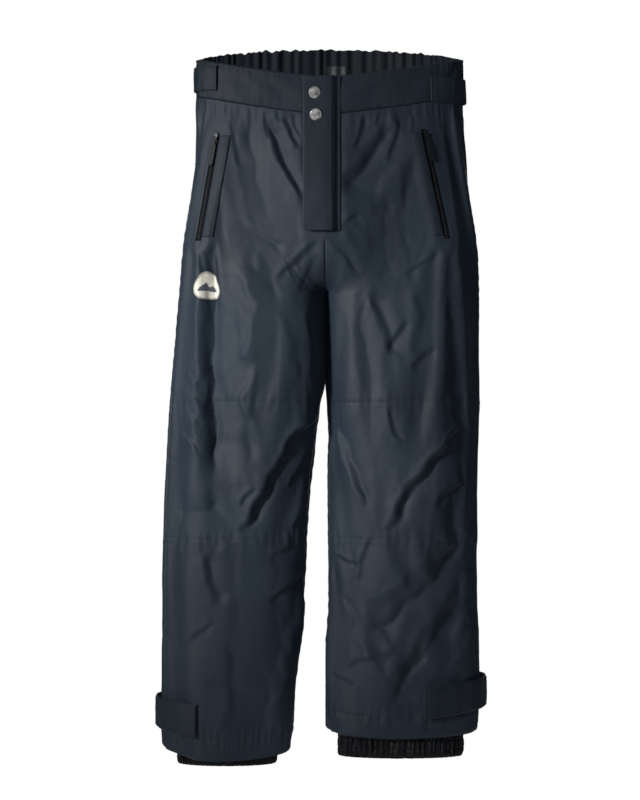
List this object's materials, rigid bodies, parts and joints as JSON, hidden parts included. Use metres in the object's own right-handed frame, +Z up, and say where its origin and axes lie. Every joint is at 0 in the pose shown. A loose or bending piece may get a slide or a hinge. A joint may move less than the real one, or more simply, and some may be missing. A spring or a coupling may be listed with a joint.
{
  "type": "ski pants",
  "caption": "Insulated ski pants with a fly placket, zipped hand pockets, waist and cuff tabs and elastic snow gaiters, hanging flat from the waistband.",
  "frame": {"origin": "middle of the waist, level with the hanger clips, half way between the front and the back of the waistband", "axes": "+Z up along the hanging garment, -Y towards the front (the fly), +X towards the wearer's left leg"},
  "size_m": [0.4408, 0.1368, 0.954],
  "materials": {
    "shell_cloth": "dark navy coated nylon, soft sheen",
    "lining_cloth": "black smooth lining",
    "elastic": "woven elastic, matt",
    "loop_pile": "brushed loop pile, matt",
    "zip_tape": "black moulded coil and tape",
    "gaiter_cloth": "near-black coated nylon, slightly shiny",
    "metal": "antique silver",
    "badge": "cream woven badge with a plain pattern"
  },
  "bodies": {
    "hips": {"waistband_front_right": "shell_cloth", "waistband_front_left": "shell_cloth", "waistband_back": "shell_cloth", "waist_elastic": "elastic", "waistband_facing": "lining_cloth", "hip_front_right": "shell_cloth", "hip_front_left": "shell_cloth", "hip_back_right": "shell_cloth", "hip_back_left": "shell_cloth", "hip_lining": "lining_cloth", "fly_shield": "shell_cloth", "fly_zip": "zip_tape", "snap_stud_upper": "metal", "snap_stud_lower": "metal", "pocket_welt_right": "shell_cloth", "pocket_welt_left": "shell_cloth", "pocket_right_zip": "zip_tape", "pocket_left_zip": "zip_tape", "pocket_bag_right": "lining_cloth", "pocket_bag_left": "lining_cloth", "waist_loop_pile_right": "loop_pile", "waist_loop_pile_left": "loop_pile", "hip_fold_right": "shell_cloth", "hip_fold_left": "shell_cloth", "badge_right": "badge"},
    "placket": {"fly_placket": "shell_cloth", "snap_cap_upper": "metal", "snap_cap_lower": "metal"},
    "fly_slider": {"fly_slider": "metal"},
    "fly_pull": {"fly_pull": "zip_tape"},
    "pocket_slider_right": {"pocket_right_slider": "metal"},
    "pocket_pull_right": {"pocket_right_pull": "zip_tape"},
    "waist_tab_right": {"waist_tab_right": "shell_cloth"},
    "thigh_right": {"thigh_front_right": "shell_cloth", "thigh_back_right": "shell_cloth", "thigh_lining_right": "lining_cloth", "knee_front_right": "shell_cloth", "knee_back_right": "shell_cloth"},
    "shin_right": {"shin_front_right": "shell_cloth", "shin_back_right": "shell_cloth", "shin_lining_right": "lining_cloth", "cuff_loop_pile_right": "loop_pile", "gaiter_sleeve_right": "gaiter_cloth"},
    "cuff_tab_right": {"cuff_tab_right": "shell_cloth"},
    "gaiter_right": {"gaiter_elastic_right": "gaiter_cloth"},
    "pocket_slider_left": {"pocket_left_slider": "metal"},
    "pocket_pull_left": {"pocket_left_pull": "zip_tape"},
    "waist_tab_left": {"waist_tab_left": "shell_cloth"},
    "thigh_left": {"thigh_front_left": "shell_cloth", "thigh_back_left": "shell_cloth", "thigh_lining_left": "lining_cloth", "knee_front_left": "shell_cloth", "knee_back_left": "shell_cloth"},
    "shin_left": {"shin_front_left": "shell_cloth", "shin_back_left": "shell_cloth", "shin_lining_left": "lining_cloth", "cuff_loop_pile_left": "loop_pile", "gaiter_sleeve_left": "gaiter_cloth"},
    "cuff_tab_left": {"cuff_tab_left": "shell_cloth"},
    "gaiter_left": {"gaiter_elastic_left": "gaiter_cloth"}
  },
  "joints": [
    {"name": "placket_fold", "type": "hinge", "parent": "hips", "child": "placket", "pos_m": [0.0202, -0.0558, -0.1092], "axis": [0, 0.0544, 0.9985], "range_deg": [0, 120]},
    {"name": "fly_slide", "type": "slide", "parent": "hips", "child": "fly_slider", "axis": [0, -0.057, -0.9984], "range_m": [0, 0.128]},
    {"name": "fly_pull_swing", "type": "hinge", "parent": "fly_slider", "child": "fly_pull", "pos_m": [0, -0.05384, -0.06727], "axis": [-1, 0, 0], "range_deg": [0, 4]},
    {"name": "pocket_slide_right", "type": "slide", "parent": "hips", "child": "pocket_slider_right", "axis": [-0.171, -0.027, -0.9849], "range_m": [0, 0.128]},
    {"name": "pocket_pull_swing_right", "type": "hinge", "parent": "pocket_slider_right", "child": "pocket_pull_right", "pos_m": [-0.14567, -0.03151, -0.08712], "axis": [-0.8762, 0.4611, 0.14], "range_deg": [0, 150]},
    {"name": "waist_tab_peel_right", "type": "hinge", "parent": "hips", "child": "waist_tab_right", "pos_m": [-0.1437, -0.0302, -0.007], "axis": [0, 0, 1], "range_deg": [0, 100]},
    {"name": "hip_right", "type": "hinge", "parent": "hips", "child": "thigh_right", "pos_m": [-0.104, 0, -0.265], "axis": [-1, 0, 0], "range_deg": [-15, 80], "deforming": ["hip_fold_right"]},
    {"name": "knee_right", "type": "hinge", "parent": "thigh_right", "child": "shin_right", "pos_m": [-0.114, 0, -0.523], "axis": [1, 0, 0], "range_deg": [0, 90], "deforming": ["knee_front_right", "knee_back_right"]},
    {"name": "cuff_tab_peel_right", "type": "hinge", "parent": "shin_right", "child": "cuff_tab_right", "pos_m": [-0.1698, -0.0526, -0.853], "axis": [0, 0, 1], "range_deg": [0, 100]},
    {"name": "gaiter_slide_right", "type": "slide", "parent": "shin_right", "child": "gaiter_right", "axis": [0, 0, 1], "range_m": [-0.03, 0], "deforming": ["gaiter_sleeve_right"]},
    {"name": "pocket_slide_left", "type": "slide", "parent": "hips", "child": "pocket_slider_left", "axis": [0.2081, -0.041, -0.9773], "range_m": [0, 0.131]},
    {"name": "pocket_pull_swing_left", "type": "hinge", "parent": "pocket_slider_left", "child": "pocket_pull_left", "pos_m": [0.13288, -0.03835, -0.08312], "axis": [-0.9337, -0.3059, -0.1859], "range_deg": [0, 150]},
    {"name": "waist_tab_peel_left", "type": "hinge", "parent": "hips", "child": "waist_tab_left", "pos_m": [0.1386, -0.0356, -0.023], "axis": [0, 0, -1], "range_deg": [0, 100]},
    {"name": "hip_left", "type": "hinge", "parent": "hips", "child": "thigh_left", "pos_m": [0.104, 0, -0.265], "axis": [-1, 0, 0], "range_deg": [-15, 80], "deforming": ["hip_fold_left"]},
    {"name": "knee_left", "type": "hinge", "parent": "thigh_left", "child": "shin_left", "pos_m": [0.104, 0, -0.523], "axis": [1, 0, 0], "range_deg": [0, 90], "deforming": ["knee_front_left", "knee_back_left"]},
    {"name": "cuff_tab_peel_left", "type": "hinge", "parent": "shin_left", "child": "cuff_tab_left", "pos_m": [0.1283, -0.0558, -0.829], "axis": [0, 0, -1], "range_deg": [0, 100]},
    {"name": "gaiter_slide_left", "type": "slide", "parent": "shin_left", "child": "gaiter_left", "axis": [0, 0, 1], "range_m": [0, 0.03], "deforming": ["gaiter_sleeve_left"]}
  ]
}
